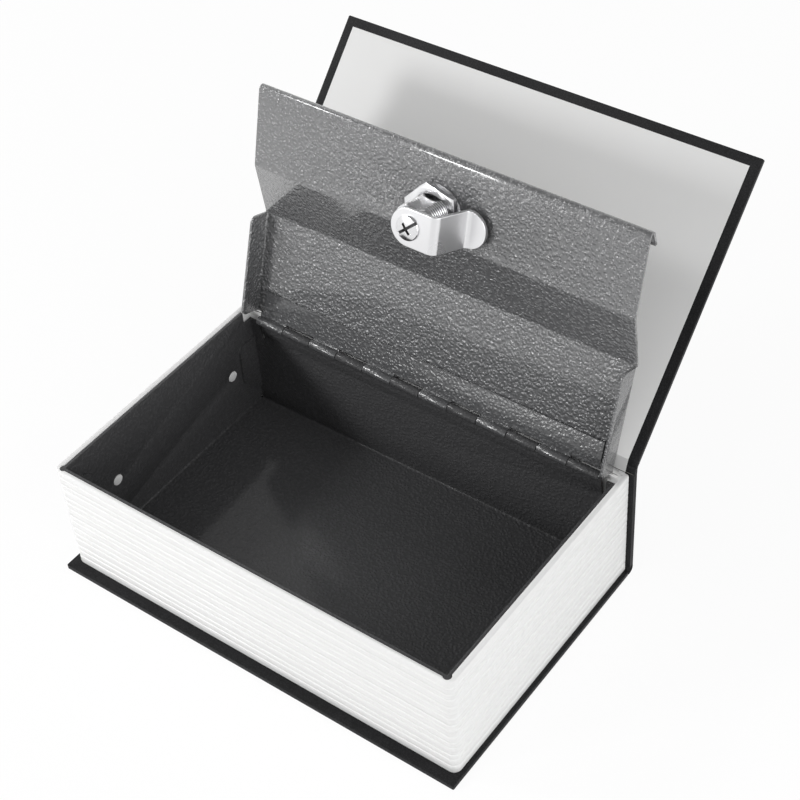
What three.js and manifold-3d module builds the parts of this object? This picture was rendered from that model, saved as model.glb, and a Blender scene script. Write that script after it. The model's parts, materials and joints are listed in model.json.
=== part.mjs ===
// Book diversion safe: a steel cash box inside a moulded page block, bound in book boards.
// Millimetres. X runs along the book, Y towards the spine, Z up.
// The origin is the middle of the lower cover's underside.
import * as THREE from 'three';
import { mergeVertices } from 'three/addons/utils/BufferGeometryUtils.js';
import Module from 'manifold-3d';

const wasm = await Module();
wasm.setup();

const DEGREE = Math.PI / 180;

// Steel box, outside sizes
const boxLength = 171.8;
const boxDepth = 107.16;
const boxHeight = 49.74;
const sheet = 1;
const bendRadius = 0.8;
const rearNotchLength = 5;
const rearNotchDepth = 6;
const notchRadius = 2;
const slitBelowRim = 14.74;
const slitWidth = 1.6;
const hingeJoggle = 0.97;
const hingeJoggleBelowRim = 12.24;
const hingeJoggleRise = 4;
const tabLength = 9.6;
const tabLowAtWall = 8;
const tabLowAtEnd = 17;
const rearTabBelowRim = 14.74;
const frontTabBelowRim = 9.04;
const tabChamfer = 2;
const floorReliefRadius = 2;
const cornerLugRadius = 1.3;
const cornerLugInset = 0.7;
const cornerLugHeight = 9;

// Page block
const seatClearance = 0.3;
const blockEndWall = 2.1;
const blockFrontWall = 1.44;
const blockRearWall = 1.1;
const blockRiseOverBox = 0.16;
const blockCornerRadius = 3;
const blockRearCornerRadius = 0.8;
const blockInsideRadius = 0.4;
const rearWallDrop = 2.9;
const lidSlotClearance = 1.6;
const rimRounding = 0.6;
const rimBand = 3.6;
const ribCount = 14;
const ribDepth = 0.45;
const ribGrooveWidth = 0.8;
const ribVariation = 0.2;
const pegRadius = 2.25;
const pegClearance = 0.25;
const pegHeight = 23.85;
const pegFromFront = 23.26;
const pegFromRear = 15.7;

// Book case
const squareAtEnds = 1.7;
const squareAtFront = 4.4;
const boardThickness = 1.5;
const wrapThickness = 0.25;
const paperThickness = 0.15;
const spineBoardThickness = 1.7;
const spineBoardBelowCover = 0.8;
const stripSetBack = 0.3;
const coverCornerRadius = 0.5;
const turnInWidth = 12;
const pastedownInset = 3.7;
const layerGap = 0.15;
const spineGap = 0.1;
const bottomJointReach = 3;
const bottomJointRadius = 2;
const coverLineFromSpine = 0.8;
const coverLineFromTop = 0.6;
const coverRootGap = 2.2;
const jointRollRadius = 0.45;
const jointClearance = 0.3;
const lidToCoverGap = 0.57;
const coverOpening = 134;

// Hinge
const pinRadius = 0.75;
const pinClearance = 0.08;
const hingeBelowRim = 2.14;
const hingeInset = 3.8;
const knuckleCount = 12;
const knuckleGap = 0.3;
const knuckleSlotReach = 2.5;
const leafInset = 1.3;
const leafLength = 12.9;
const weldGap = 0.2;

// Lid. Along it is the distance from the hinge line, and off it the distance towards the inside.
const lidOpening = 108.7;
const lidSideGap = 2.5;
const lidFrontGap = 4.96;
const lidRear = 1.5;
const frontLength = 32.1;
const joggleRun = 20.9;
const joggleDepth = 9.93;
const joggleRadius = 2.5;
const frontTilt = 3.85;
const lipLength = 7.6;
const lipWedge = 30;
const flangeDepth = 9;
const flangeFromJoggle = 0.6;
const flangeCornerRadius = 2.5;
const rearCornerCut = 2.9;
const rearCornerWidth = 4.9;
const rearCornerRadius = 1.2;

// Cam lock. Heights run from the inner face of the lid towards the inside of the box.
const lockFromJoggle = 10.07;
const lockHeadRadius = 10;
const lockHeadHeight = 3;
const lockHeadChamfer = 1.2;
const barrelRadius = 8;
const barrelFlat = 7;
const barrelEnd = 15.4;
const barrelClearance = 0.2;
const plugRadius = 5.5;
const plugClearance = 0.2;
const plugHeadRadius = 6.6;
const plugHeadHeight = 1.4;
const plugShoulderGap = 0.3;
const tailHalf = 3.5;
const tailClearance = 0.2;
const waferCount = 5;
const waferThickness = 0.8;
const waferPitch = 2.2;
const waferStart = 1.6;
const waferHalfWidth = 3;
const waferSlack = 0.25;
const waferGrooveDepth = 0.8;
const waferGrooveEndWall = 2;
const waferWindowHalf = 2.59;
const waferCutVariation = 0.5;
const keywayHalfWidth = 0.9;
const keywayHalfHeight = 3.7;
const keywayEndWall = 3;
const washerRadius = 11.2;
const washerThickness = 0.8;
const lockGap = 0.1;
const nutAcrossFlats = 21.08;
const nutHeight = 2.9;
const nutChamfer = 0.5;
const nutCornerAngle = 107;
const camFace = 17.4;
const camThickness = 1.4;
const camHalfWidth = 7.25;
const camReach = 22.7;
const camBend = 11;
const tongueBend = 15.2;
const tongueFace = 3;
const camScrewRadius = 4.7;
const camScrewHeight = 1.4;
const camScrewGap = 0.15;
const crossHalfLength = 2.7;
const crossHalfWidth = 0.5;
const crossDepth = 1;
const crossAngle = 25;
const shankRadius = 1.9;
const shankLength = 5.5;
const shankClearance = 0.2;
const shankEndGap = 0.5;

// Strike bracket
const strikeWidth = 24;
const strikeDrop = 8;
const strikeOverlap = 2.5;
const strikeClearance = 0.3;

// Places along X and Y
const boxHalf = boxLength / 2;
const boxInnerHalf = boxHalf - sheet;
const blockHalf = boxHalf + seatClearance + blockEndWall;
const bookHalf = blockHalf + squareAtEnds;
const rearStack = blockRearWall + spineGap + 2 * wrapThickness + spineBoardThickness;
const frontStack = squareAtFront + blockFrontWall;
const bookDepth = frontStack + 2 * seatClearance + boxDepth + rearStack;
const foreEdge = -bookDepth / 2;
const spineFace = bookDepth / 2;
const blockFront = foreEdge + squareAtFront;
const boxFront = blockFront + blockFrontWall + seatClearance;
const boxRear = boxFront + boxDepth;
const blockRearInside = boxRear + seatClearance;
const blockRear = blockRearInside + blockRearWall;
const spineInside = blockRear + spineGap;
const coverLineY = spineFace - coverLineFromSpine;
const frontWallInside = boxFront + sheet;

// Levels
const coverThickness = boardThickness + 2 * wrapThickness;
const floorLevel = coverThickness;
const rimLevel = floorLevel + boxHeight;
const blockTop = rimLevel + blockRiseOverBox;
const pinZ = rimLevel - hingeBelowRim;
const knuckleRadius = pinRadius + pinClearance + sheet;
const lidInnerOff = -(knuckleRadius + weldGap);
const coverInside = pinZ - lidInnerOff + sheet + lidToCoverGap;
const coverOutside = coverInside + coverThickness;
const coverLineZ = coverOutside - coverLineFromTop;
const spineBoardTop = coverInside - spineBoardBelowCover;

// Hinge and lid
const hingeFace = boxRear - hingeJoggle;
const pinY = hingeFace - knuckleRadius;
const lidHalf = boxInnerHalf - lidSideGap;
const hingeHalf = lidHalf - hingeInset;
const knucklePitch = (2 * hingeHalf) / knuckleCount;
const frontSlope = frontTilt * DEGREE;
const lidFrontEdge = pinY - frontWallInside - lidFrontGap;
const joggleEnd = lidFrontEdge - frontLength;
const joggleStart = joggleEnd - joggleRun;
const lockAlong = joggleEnd + lockFromJoggle * Math.cos(frontSlope);

const materials = {
  leatherette: new THREE.MeshStandardMaterial({ color: 0x2b2b2d, roughness: 0.7, metalness: 0 }),
  greyBoard: new THREE.MeshStandardMaterial({ color: 0x8d8a83, roughness: 0.95, metalness: 0 }),
  paper: new THREE.MeshStandardMaterial({ color: 0xdcdcda, roughness: 0.9, metalness: 0 }),
  plastic: new THREE.MeshStandardMaterial({ color: 0xf0f0ee, roughness: 0.5, metalness: 0 }),
  boxPaint: new THREE.MeshStandardMaterial({ color: 0x333436, roughness: 0.5, metalness: 0.3 }),
  lidPaint: new THREE.MeshStandardMaterial({ color: 0x5c5d5f, roughness: 0.45, metalness: 0.3 }),
  zinc: new THREE.MeshStandardMaterial({ color: 0xc9cacc, roughness: 0.25, metalness: 1 }),
  steel: new THREE.MeshStandardMaterial({ color: 0xa9aaac, roughness: 0.35, metalness: 1 }),
  brass: new THREE.MeshStandardMaterial({ color: 0xb9974f, roughness: 0.35, metalness: 1 }),
};

// A closed mesh as a solid that can be joined and cut
function toSolid(geometry) {
  const bare = geometry.clone();
  bare.deleteAttribute('normal');
  bare.deleteAttribute('uv');
  const merged = mergeVertices(bare, 1e-4);
  return new wasm.Manifold(new wasm.Mesh({
    numProp: 3,
    vertProperties: Float32Array.from(merged.attributes.position.array),
    triVerts: Uint32Array.from(merged.index.array),
  }));
}

function toGeometry(solid) {
  const mesh = solid.getMesh();
  const geometry = new THREE.BufferGeometry();
  geometry.setAttribute('position', new THREE.BufferAttribute(mesh.vertProperties, 3));
  geometry.setIndex(new THREE.BufferAttribute(mesh.triVerts, 1));
  geometry.computeVertexNormals();
  return geometry;
}

function place(parent, name, solid, material) {
  const mesh = new THREE.Mesh(toGeometry(solid), material);
  mesh.name = name;
  parent.add(mesh);
}

function joined(solids) {
  return solids.reduce((whole, one) => whole.add(one));
}

function extruded(shape, length) {
  return new THREE.ExtrudeGeometry(shape, { depth: length, bevelEnabled: false, curveSegments: 12 });
}

// The outline holds (x, y)
function alongZ(shape, from, to) {
  const geometry = extruded(shape, to - from);
  geometry.translate(0, 0, from);
  return toSolid(geometry);
}

// The outline holds (y, z)
function alongX(shape, from, to) {
  const geometry = extruded(shape, to - from);
  geometry.applyMatrix4(new THREE.Matrix4().set(0, 0, 1, from, 1, 0, 0, 0, 0, 1, 0, 0, 0, 0, 0, 1));
  return toSolid(geometry);
}

// The outline holds (z, x)
function alongY(shape, from, to) {
  const geometry = extruded(shape, to - from);
  geometry.applyMatrix4(new THREE.Matrix4().set(0, 1, 0, 0, 0, 0, 1, from, 1, 0, 0, 0, 0, 0, 0, 1));
  return toSolid(geometry);
}

function block(x0, x1, y0, y1, z0, z1) {
  const geometry = new THREE.BoxGeometry(Math.abs(x1 - x0), Math.abs(y1 - y0), Math.abs(z1 - z0));
  geometry.translate((x0 + x1) / 2, (y0 + y1) / 2, (z0 + z1) / 2);
  return toSolid(geometry);
}

function barZ(radius, from, to, sides) {
  const geometry = new THREE.CylinderGeometry(radius, radius, to - from, sides);
  geometry.rotateX(Math.PI / 2);
  geometry.translate(0, 0, (from + to) / 2);
  return toSolid(geometry);
}

function barX(radius, from, to, sides) {
  const geometry = new THREE.CylinderGeometry(radius, radius, Math.abs(to - from), sides);
  geometry.rotateZ(Math.PI / 2);
  geometry.translate((from + to) / 2, 0, 0);
  return toSolid(geometry);
}

// A body turned about Z from a profile of radius and height
function turned(points, sides) {
  const geometry = new THREE.LatheGeometry(points.map(([r, z]) => new THREE.Vector2(r, z)), sides);
  geometry.rotateX(Math.PI / 2);
  return toSolid(geometry);
}

function polygon(points) {
  return new THREE.Shape(points.map(([u, v]) => new THREE.Vector2(u, v)));
}

function washerShape(outerRadius, innerRadius) {
  const shape = new THREE.Shape();
  shape.absarc(0, 0, outerRadius, 0, 2 * Math.PI, false);
  const hole = new THREE.Path();
  hole.absarc(0, 0, innerRadius, 0, 2 * Math.PI, true);
  shape.holes.push(hole);
  return shape;
}

// The outline of a bent sheet whose one face follows a path of straight runs.
// Side 1 lays the thickness to the left of the path, and side -1 to the right.
function sheetOutline(path, thickness, insideRadii, side) {
  const points = path.map(([u, v]) => new THREE.Vector2(u, v));
  const ways = points.slice(1).map((point, i) => point.clone().sub(points[i]).normalize());
  const leftOf = (way) => new THREE.Vector2(-way.y, way.x);
  const bendSteps = 5;
  const near = [points[0]];
  const far = [points[0].clone().addScaledVector(leftOf(ways[0]), side * thickness)];
  for (let i = 1; i < points.length - 1; i += 1) {
    const before = ways[i - 1];
    const after = ways[i];
    const turn = Math.atan2(before.cross(after), before.dot(after));
    const hand = Math.sign(turn);
    const inside = insideRadii[i - 1];
    const nearRadius = hand === side ? inside + thickness : inside;
    const farRadius = hand === side ? inside : inside + thickness;
    const centre = points[i].clone().addScaledVector(before, -nearRadius * Math.tan(Math.abs(turn) / 2));
    centre.addScaledVector(leftOf(before), hand * nearRadius);
    const out = leftOf(before).multiplyScalar(-hand);
    const start = Math.atan2(out.y, out.x);
    for (let k = 0; k <= bendSteps; k += 1) {
      const angle = start + (turn * k) / bendSteps;
      const ray = new THREE.Vector2(Math.cos(angle), Math.sin(angle));
      near.push(centre.clone().addScaledVector(ray, nearRadius));
      far.push(centre.clone().addScaledVector(ray, farRadius));
    }
  }
  const last = points[points.length - 1];
  near.push(last);
  far.push(last.clone().addScaledVector(leftOf(ways[ways.length - 1]), side * thickness));
  return new THREE.Shape([...near, ...far.reverse()]);
}

// A rectangle with one radius at its front corners and one at its rear corners
function roundedOutline(half, front, rear, frontRadius, rearRadius, steps) {
  const corners = [
    [half - frontRadius, front + frontRadius, frontRadius, -90],
    [half - rearRadius, rear - rearRadius, rearRadius, 0],
    [-half + rearRadius, rear - rearRadius, rearRadius, 90],
    [-half + frontRadius, front + frontRadius, frontRadius, 180],
  ];
  const points = [];
  for (const [centreX, centreY, radius, start] of corners) {
    for (let k = 0; k <= steps; k += 1) {
      const angle = (start + (90 * k) / steps) * DEGREE;
      points.push([centreX + radius * Math.cos(angle), centreY + radius * Math.sin(angle)]);
    }
  }
  return points;
}

// A solid through a closed chain of rings that all have as many points
function ringSolid(rings) {
  const count = rings[0].length;
  const index = [];
  for (let i = 0; i < rings.length; i += 1) {
    const next = (i + 1) % rings.length;
    for (let j = 0; j < count; j += 1) {
      const beside = (j + 1) % count;
      index.push(i * count + j, i * count + beside, next * count + beside);
      index.push(i * count + j, next * count + beside, next * count + j);
    }
  }
  const geometry = new THREE.BufferGeometry();
  geometry.setAttribute('position', new THREE.Float32BufferAttribute(rings.flat(2), 3));
  geometry.setIndex(index);
  return toSolid(geometry);
}

// Covering material round a board: open at the spine, and on the inside past its turn-ins.
// The inside lies at the first level, and the outside of the book at the second.
function coverShell(front, rear, inside, outside) {
  const reach = 1;
  const low = Math.min(inside, outside);
  const high = Math.max(inside, outside);
  const plan = roundedOutline(bookHalf, front, rear, coverCornerRadius, coverCornerRadius, 3);
  const cavity = block(
    -bookHalf + wrapThickness, bookHalf - wrapThickness,
    front + wrapThickness, rear + reach,
    low + wrapThickness, high - wrapThickness,
  );
  const inward = Math.sign(inside - outside);
  const window = block(
    -bookHalf + turnInWidth, bookHalf - turnInWidth,
    front + turnInWidth, rear + reach,
    inside + inward * reach, inside - inward * 2 * wrapThickness,
  );
  return alongZ(polygon(plan), low, high).subtract(cavity).subtract(window);
}

// Lower cover, with the cloth that turns up to the spine
function lowerCover(parent) {
  const rear = spineFace - bottomJointReach - spineGap;
  const board = block(
    -bookHalf + wrapThickness, bookHalf - wrapThickness,
    foreEdge + wrapThickness, rear,
    wrapThickness, wrapThickness + boardThickness,
  );
  const fold = sheetOutline(
    [[spineFace - bottomJointReach, 0], [spineFace, 0], [spineFace, bottomJointReach]],
    wrapThickness, [bottomJointRadius], 1,
  );
  place(parent, 'bottom_wrap', coverShell(foreEdge, rear, coverThickness, 0), materials.leatherette);
  place(parent, 'bottom_board', board, materials.greyBoard);
  place(parent, 'bottom_joint', alongX(fold, -bookHalf, bookHalf), materials.leatherette);
}

// Spine board, its wrap turned in at the ends, and the strip of endpaper over it
function spine(parent) {
  const low = bottomJointReach + spineGap;
  const clothTop = coverLineZ - jointRollRadius - jointClearance / 2;
  const boardHalf = bookHalf - wrapThickness;
  const boardInside = spineInside + wrapThickness;
  const boardOutside = spineFace - wrapThickness;
  const outerCloth = block(-bookHalf, bookHalf, boardOutside, spineFace, low, clothTop);
  const turnIns = [-1, 1].map((side) => {
    const end = block(side * boardHalf, side * bookHalf, spineInside, spineFace, low, spineBoardTop);
    const flap = block(
      side * (bookHalf - turnInWidth), side * bookHalf, spineInside, boardInside, low, spineBoardTop,
    );
    return end.add(flap);
  });
  const board = block(-boardHalf, boardHalf, boardInside, boardOutside, low, spineBoardTop);
  const stripFace = boardOutside - coverLineFromSpine - stripSetBack;
  const strip = block(
    -bookHalf + pastedownInset, bookHalf - pastedownInset,
    stripFace - paperThickness, stripFace,
    spineBoardTop, coverLineZ - jointRollRadius - jointClearance,
  );
  place(parent, 'spine_wrap', joined([outerCloth, ...turnIns]), materials.leatherette);
  place(parent, 'spine_board', board, materials.greyBoard);
  place(parent, 'endpaper_hinge', strip, materials.paper);
}

// The cloth fold that the upper cover turns on, as the roll that it makes round its own line
function coverJoint(parent) {
  const section = washerShape(jointRollRadius, jointRollRadius - wrapThickness);
  place(parent, 'cover_joint', alongX(section, -bookHalf, bookHalf), materials.leatherette);
}

// Upper cover, drawn closed, from the line of its cloth fold
function upperCover(parent) {
  const front = foreEdge - coverLineY;
  const rear = -coverRootGap;
  const outside = coverOutside - coverLineZ;
  const paperFace = coverInside - coverLineZ;
  const wrapInside = paperFace + paperThickness + layerGap;
  const edge = wrapThickness + layerGap;
  const board = block(
    -bookHalf + edge, bookHalf - edge,
    front + edge, rear,
    wrapInside + edge, outside - edge,
  );
  const paper = block(
    -bookHalf + pastedownInset, bookHalf - pastedownInset,
    front + pastedownInset, rear,
    paperFace, paperFace + paperThickness,
  );
  place(parent, 'top_wrap', coverShell(front, rear, wrapInside, outside), materials.leatherette);
  place(parent, 'top_board', board, materials.greyBoard);
  place(parent, 'top_endpaper', paper, materials.paper);
}

// Heights of the grooves between bundles of pages, whose pitch wanders round its mean
function grooveLevels() {
  const shares = Array.from({ length: ribCount }, (_, k) => 1 + ribVariation * Math.sin(2.4 * k + 0.6));
  const total = shares.reduce((sum, share) => sum + share);
  const span = blockTop - rimBand - floorLevel;
  let level = floorLevel;
  return shares.map((share) => {
    level += (span * share) / total;
    return level;
  });
}

// Page block: a moulded surround, grooved outside like page edges
function pageBlock(parent) {
  const steps = 6;
  const atLevel = (outline, z) => outline.map(([x, y]) => [x, y, z]);
  const outside = (inset, z) => atLevel(roundedOutline(
    blockHalf - inset, blockFront + inset, blockRear,
    blockCornerRadius - inset, blockRearCornerRadius, steps,
  ), z);
  const inside = (z) => atLevel(roundedOutline(
    boxHalf + seatClearance, boxFront - seatClearance, blockRearInside,
    blockInsideRadius, blockInsideRadius, steps,
  ), z);
  const rings = [outside(0, floorLevel)];
  for (const level of grooveLevels()) {
    rings.push(outside(0, level - ribGrooveWidth / 2));
    rings.push(outside(ribDepth, level));
    rings.push(outside(0, level + ribGrooveWidth / 2));
  }
  const half = rimRounding * Math.SQRT1_2;
  rings.push(outside(0, blockTop - rimRounding));
  rings.push(outside(rimRounding - half, blockTop - rimRounding + half));
  rings.push(outside(rimRounding, blockTop));
  rings.push(inside(blockTop));
  rings.push(inside(floorLevel));
  const slotHalf = lidHalf + lidSlotClearance;
  let body = ringSolid(rings).subtract(block(
    -slotHalf, slotHalf, blockRearInside - seatClearance, blockRear + 1, blockTop - rearWallDrop, blockTop + 1,
  ));
  for (const side of [-1, 1]) {
    const pocketFloor = rimLevel - cornerLugHeight - seatClearance;
    const pocket = barZ(cornerLugRadius + seatClearance, pocketFloor, blockTop + 1, 20);
    body = body.subtract(pocket.translate(lugPlace(side)));
    for (const y of pegPlaces()) {
      const peg = barX(pegRadius, side * boxInnerHalf, side * (boxHalf + 2 * seatClearance), 24);
      body = body.add(peg.translate([0, y, floorLevel + pegHeight]));
    }
  }
  place(parent, 'page_block', body, materials.plastic);
}

function pegPlaces() {
  return [boxFront + pegFromFront, boxRear - pegFromRear];
}

// One rolled knuckle on a hinge line at the origin
function knuckle(k) {
  const start = -hingeHalf + k * knucklePitch;
  const section = washerShape(knuckleRadius, knuckleRadius - sheet);
  return alongX(section, start + knuckleGap / 2, start + knucklePitch - knuckleGap / 2);
}

// The flat stem of a knuckle, between two places across the hinge line and two levels
function knuckleStem(k, y0, y1, z0, z1) {
  const start = -hingeHalf + k * knucklePitch;
  return block(start + knuckleGap / 2, start + knucklePitch - knuckleGap / 2, y0, y1, z0, z1);
}

// Corner tabs of an end wall, folded round and lying on the side walls' inner faces.
// The wall's inner face lies at the given y, and the tabs run from it along the given sign.
function cornerTabs(wall, sign, belowRim) {
  const sink = 0.02;
  const root = wall - sign * (sheet / 2);
  const end = wall + sign * tabLength;
  const top = rimLevel - belowRim;
  const outline = polygon([
    [root, floorLevel + tabLowAtWall],
    [root, top],
    [end - sign * tabChamfer, top],
    [end, top - tabChamfer],
    [end, floorLevel + tabLowAtEnd],
    [wall, floorLevel + tabLowAtWall],
  ]);
  return [
    alongX(outline, -boxInnerHalf - sink, -boxInnerHalf + sheet),
    alongX(outline, boxInnerHalf - sheet, boxInnerHalf + sink),
  ];
}

function lugPlace(side) {
  return [side * (boxHalf - cornerLugInset), boxFront + cornerLugInset, 0];
}

// Round lugs that close the box's two front corners at the rim
function cornerLugs() {
  return [-1, 1].map((side) => {
    const lug = barZ(cornerLugRadius, rimLevel - cornerLugHeight, rimLevel, 20).translate(lugPlace(side));
    const reach = 2 * cornerLugRadius;
    const room = block(
      side * (boxInnerHalf - reach), side * boxInnerHalf,
      frontWallInside, frontWallInside + reach, 0, rimLevel + 1,
    );
    return lug.subtract(room);
  });
}

// The notch at the rear end of a side wall's rim, rounded at its foot
function rearNotch() {
  const earTop = rimLevel - rearNotchDepth;
  const front = boxRear - rearNotchLength;
  const notch = new THREE.Shape();
  notch.moveTo(boxRear + 1, rimLevel + 1);
  notch.lineTo(front, rimLevel + 1);
  notch.lineTo(front, earTop + notchRadius);
  notch.absarc(front + notchRadius, earTop + notchRadius, notchRadius, Math.PI, 1.5 * Math.PI, false);
  notch.lineTo(boxRear + 1, earTop);
  return notch;
}

// Steel box: floor and four walls folded from one sheet, with the hinge rolled on the back wall
function steelBox(parent) {
  const wallTop = pinZ - knuckleSlotReach;
  const slitLevel = rimLevel - slitBelowRim;
  const joggleLevel = rimLevel - hingeJoggleBelowRim;
  const twoBends = [bendRadius, bendRadius];
  const sides = alongY(sheetOutline(
    [[rimLevel, boxHalf], [floorLevel, boxHalf], [floorLevel, -boxHalf], [rimLevel, -boxHalf]],
    sheet, twoBends, 1,
  ), boxFront, boxRear);
  const ends = alongX(sheetOutline(
    [[boxFront, rimLevel], [boxFront, floorLevel], [boxRear, floorLevel], [boxRear, slitLevel]],
    sheet, twoBends, 1,
  ), -boxHalf, boxHalf);
  const hingeWall = alongX(sheetOutline(
    [
      [boxRear, slitLevel - sheet],
      [boxRear, joggleLevel],
      [hingeFace, joggleLevel + hingeJoggleRise],
      [hingeFace, wallTop],
    ],
    sheet, twoBends, 1,
  ), -hingeHalf, hingeHalf);
  const solids = [sides, ends, hingeWall, ...cornerLugs()];
  solids.push(...cornerTabs(frontWallInside, 1, frontTabBelowRim));
  solids.push(...cornerTabs(boxRear - sheet, -1, rearTabBelowRim));
  const earInside = hingeHalf + slitWidth;
  for (const side of [-1, 1]) {
    solids.push(block(
      side * earInside, side * boxHalf, boxRear - sheet, boxRear, slitLevel - sheet, rimLevel - rearNotchDepth,
    ));
  }
  for (let k = 1; k < knuckleCount; k += 2) {
    solids.push(knuckleStem(k, hingeFace - sheet, hingeFace, wallTop - sheet, pinZ));
    solids.push(knuckle(k).translate([0, pinY, pinZ]));
  }
  let body = joined(solids)
    .subtract(alongX(rearNotch(), -boxHalf - 1, -earInside))
    .subtract(alongX(rearNotch(), earInside, boxHalf + 1));
  for (const side of [-1, 1]) {
    for (const y of pegPlaces()) {
      const hole = barX(pegRadius + pegClearance, side * (boxInnerHalf - sheet), side * (boxHalf + 1), 24);
      body = body.subtract(hole.translate([0, y, floorLevel + pegHeight]));
    }
    for (const y of [boxFront, boxRear]) {
      const relief = barZ(floorReliefRadius, 0, floorLevel + floorReliefRadius, 20);
      body = body.subtract(relief.translate([side * boxHalf, y, 0]));
    }
  }
  place(parent, 'box_tray', body, materials.boxPaint);
}

// How far off the hinge line the inner face of the lid's front part lies, at a distance along it
function frontFace(along) {
  return lidInnerOff + joggleDepth + (along - joggleEnd) * Math.tan(frontSlope);
}

// Strike bracket welded inside the front wall, which the cam's tongue turns under
function strikeBracket(parent) {
  const tongueTip = lockAlong + camReach * Math.cos(frontSlope);
  const tip = pinY - tongueTip + strikeOverlap;
  const topAt = (y) => pinZ - frontFace(pinY - y) - strikeClearance / Math.cos(frontSlope);
  const wallLevel = topAt(frontWallInside);
  const outline = sheetOutline(
    [[frontWallInside, wallLevel - strikeDrop], [frontWallInside, wallLevel], [tip, topAt(tip)]],
    sheet, [bendRadius], -1,
  );
  place(parent, 'strike_bracket', alongX(outline, -strikeWidth / 2, strikeWidth / 2), materials.boxPaint);
}

function hingePin(parent) {
  const pin = barX(pinRadius, -hingeHalf, hingeHalf, 20).translate([0, pinY, pinZ]);
  place(parent, 'hinge_pin', pin, materials.steel);
}

// Bent profile of the lid, closed, from the hinge line: flat, joggle, front part and folded lip.
// Here y is minus the distance along, and z minus the distance off.
function lidProfile() {
  const inner = -lidInnerOff;
  const bendOutside = bendRadius + sheet;
  const lipTurn = Math.PI - lipWedge * DEGREE;
  const setBack = bendOutside * Math.tan(lipTurn / 2);
  const corner = lidFrontEdge - bendOutside + setBack;
  const lipRun = setBack + lipLength - bendOutside;
  const lipAngle = lipWedge * DEGREE + frontSlope;
  return sheetOutline([
    [-lidRear, inner],
    [-joggleStart, inner],
    [-joggleEnd, -frontFace(joggleEnd)],
    [-corner, -frontFace(corner)],
    [-corner + lipRun * Math.cos(lipAngle), -frontFace(corner) + lipRun * Math.sin(lipAngle)],
  ], sheet, [joggleRadius, joggleRadius, bendRadius], -1);
}

// The flat part of the lid with its two side flanges, whose free corners are rounded
function flangedPart(flangeEnd) {
  const outer = -lidInnerOff + sheet;
  const free = -lidInnerOff - flangeDepth;
  const section = sheetOutline(
    [[free, -lidHalf], [outer, -lidHalf], [outer, lidHalf], [free, lidHalf]],
    sheet, [bendRadius, bendRadius], 1,
  );
  const radius = flangeCornerRadius;
  const side = new THREE.Shape();
  side.moveTo(-rearCornerCut, outer + 1);
  side.lineTo(-flangeEnd, outer + 1);
  side.lineTo(-flangeEnd, free + radius);
  side.absarc(-flangeEnd + radius, free + radius, radius, Math.PI, 1.5 * Math.PI, false);
  side.absarc(-rearCornerCut - radius, free + radius, radius, -Math.PI / 2, 0, false);
  return alongY(section, -flangeEnd, -rearCornerCut).intersect(alongX(side, -lidHalf - 1, lidHalf + 1));
}

// Lid: a joggled sheet with two flanges and a folded front lip
function lidPanel(parent) {
  const low = -lidInnerOff - sheet;
  const high = -lidInnerOff + 2 * sheet;
  const flangeEnd = joggleStart - flangeFromJoggle;
  let body = alongX(lidProfile(), -lidHalf, lidHalf);
  for (const side of [-1, 1]) {
    const beyond = side * (lidHalf + 1);
    body = body.subtract(block(
      side * (lidHalf - bendRadius - sheet), beyond, -flangeEnd, 1, low, high,
    ));
    body = body.subtract(block(side * (lidHalf - rearCornerWidth), beyond, -rearCornerCut, 1, low, high));
  }
  body = body.add(flangedPart(flangeEnd));
  for (const side of [-1, 1]) {
    const scoop = barZ(rearCornerRadius, low, high, 20);
    body = body.subtract(scoop.translate([side * (lidHalf - rearCornerWidth), -rearCornerCut, 0]));
  }
  const hole = alongZ(barrelShape(barrelClearance), -3 * sheet, 3 * sheet).rotate([frontTilt, 0, 0]);
  body = body.subtract(hole.translate([0, -lockAlong, -frontFace(lockAlong)]));
  place(parent, 'lid_panel', body, materials.lidPaint);
}

// Hinge leaf welded inside the lid, with every second knuckle rolled on it
function lidLeaf(parent) {
  const half = hingeHalf - leafInset;
  const low = knuckleRadius - sheet;
  const solids = [block(-half, half, -leafLength, -knuckleSlotReach, low, knuckleRadius)];
  for (let k = 0; k < knuckleCount; k += 2) {
    solids.push(knuckle(k));
    solids.push(knuckleStem(k, -knuckleSlotReach - sheet, 0, low, knuckleRadius));
  }
  place(parent, 'lid_hinge_leaf', joined(solids), materials.lidPaint);
}

// Round barrel with two flats, which face the lid's hinge and its front edge
function barrelShape(grow) {
  const radius = barrelRadius + grow;
  const corner = Math.asin((barrelFlat + grow) / radius);
  const shape = new THREE.Shape();
  shape.absarc(0, 0, radius, -corner, corner, false);
  shape.absarc(0, 0, radius, Math.PI - corner, Math.PI + corner, false);
  return shape;
}

const lockFront = -sheet - lockGap - lockHeadHeight;

function lockBody(parent) {
  const seat = -sheet - lockGap;
  const head = turned([
    [0, lockFront],
    [lockHeadRadius - lockHeadChamfer, lockFront],
    [lockHeadRadius, lockFront + lockHeadChamfer],
    [lockHeadRadius, seat],
    [0, seat],
  ], 48);
  const bore = barZ(plugRadius + plugClearance, lockFront - 1, barrelEnd + 1, 32);
  const headSeat = barZ(plugHeadRadius + plugClearance, lockFront - 1, lockFront + plugHeadHeight, 32);
  const reach = plugRadius + plugClearance + waferGrooveDepth;
  const groove = block(
    -reach, reach, -waferHalfWidth - waferSlack, waferHalfWidth + waferSlack,
    waferStart - waferThickness, barrelEnd - waferGrooveEndWall,
  );
  const body = head.add(alongZ(barrelShape(0), seat - 1, barrelEnd)).subtract(bore).subtract(headSeat);
  place(parent, 'lock_body', body.subtract(groove), materials.zinc);
}

function lockWasher(parent) {
  const section = washerShape(washerRadius, barrelRadius + barrelClearance);
  place(parent, 'lock_washer', alongZ(section, lockGap, lockGap + washerThickness), materials.steel);
}

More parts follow.
